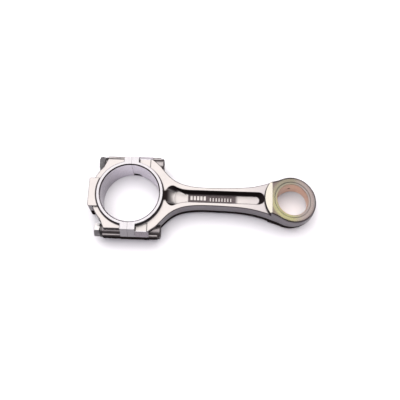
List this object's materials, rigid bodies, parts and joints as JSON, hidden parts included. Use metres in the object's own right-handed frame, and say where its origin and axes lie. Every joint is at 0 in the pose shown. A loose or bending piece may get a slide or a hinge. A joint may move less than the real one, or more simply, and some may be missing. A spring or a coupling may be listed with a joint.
{
  "type": "connecting rod",
  "caption": "Engine connecting rod: split big end with bolted bearing cap, I-section shank, and tapered small end with a pressed bronze bush.",
  "frame": {"origin": "centre of the big-end bore at mid-thickness", "axes": "+X from the big end to the small end along the centre line, +Z along the big-end bore, +Y across the rod on the side of the rod's tang notch"},
  "size_m": [0.3031, 0.1128, 0.044],
  "materials": {
    "forged_steel": "forged and shot-peened, with bright ground faces",
    "bolt_steel": "hardened and lightly oiled",
    "sleeve_steel": "ground",
    "bush_bronze": "bored bronze"
  },
  "bodies": {
    "rod": {"rod_forging": "forged_steel", "small_end_bush": "bush_bronze", "dowel_sleeve_north": "sleeve_steel", "dowel_sleeve_south": "sleeve_steel"},
    "cap": {"bearing_cap": "forged_steel"},
    "bolt_north": {"cap_bolt_north": "bolt_steel"},
    "bolt_south": {"cap_bolt_south": "bolt_steel"}
  },
  "joints": [
    {"name": "cap_lift_off", "type": "slide", "parent": "rod", "child": "cap", "axis": [-1, 0, 0], "range_m": [0, 0.06]},
    {"name": "bolt_north_withdraw", "type": "slide", "parent": "cap", "child": "bolt_north", "axis": [-1, 0, 0], "range_m": [0, 0.08]},
    {"name": "bolt_south_withdraw", "type": "slide", "parent": "cap", "child": "bolt_south", "axis": [-1, 0, 0], "range_m": [0, 0.08]}
  ]
}
